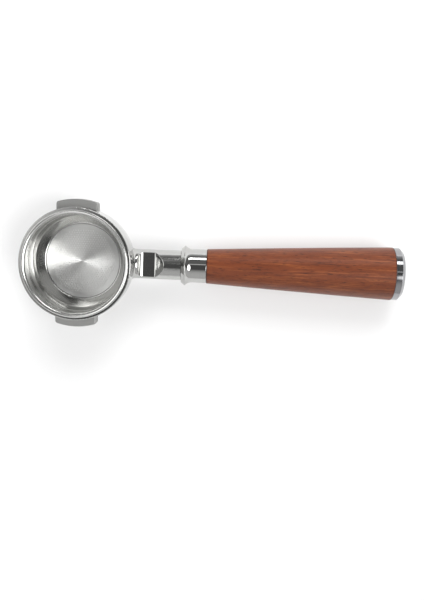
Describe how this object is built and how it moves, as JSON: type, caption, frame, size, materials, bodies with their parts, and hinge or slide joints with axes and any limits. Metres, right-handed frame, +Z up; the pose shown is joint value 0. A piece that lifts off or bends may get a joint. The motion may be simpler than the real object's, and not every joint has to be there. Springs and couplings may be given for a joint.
{
  "type": "portafilter",
  "caption": "Bottomless espresso portafilter: locking ring with lugs and a notched arm, lift-out perforated basket, flared ferrule, turned wooden grip and polished end cap.",
  "frame": {"origin": "on the ring's axis, level with the land that the basket's lip rests on", "axes": "+Z up along the ring's axis towards the group head, +X towards the handle, the two lugs along +Y and -Y"},
  "size_m": [0.2303, 0.0764, 0.0451],
  "materials": {
    "ring_steel": "cast stainless steel, satin polished",
    "basket_steel": "pressed stainless sheet, bright wall and circular brushed floor",
    "spring_wire": "bright drawn spring wire",
    "polished_steel": "turned and mirror polished",
    "rosewood": "oiled satin, straight grain along the handle",
    "plated_steel": "zinc plated",
    "black_rubber": "moulded, matt"
  },
  "bodies": {
    "portafilter": {"portafilter_body": "ring_steel", "ferrule": "polished_steel", "ferrule_seal": "black_rubber", "wood_grip": "rosewood", "handle_rod": "plated_steel", "clamp_washer": "plated_steel", "lock_washer": "plated_steel", "clamp_nut": "plated_steel", "end_cap": "polished_steel", "cap_o_ring": "black_rubber"},
    "spring": {"basket_spring": "spring_wire"},
    "basket": {"filter_basket": "basket_steel"}
  },
  "joints": [
    {"name": "basket_turn", "type": "hinge", "parent": "portafilter", "child": "spring", "pos_m": [0, 0, -0.0078], "axis": [0, 0, 1], "continuous": true},
    {"name": "basket_lift", "type": "slide", "parent": "spring", "child": "basket", "axis": [0, 0, 1], "range_m": [0, 0.035], "deforming": ["basket_spring"]}
  ]
}
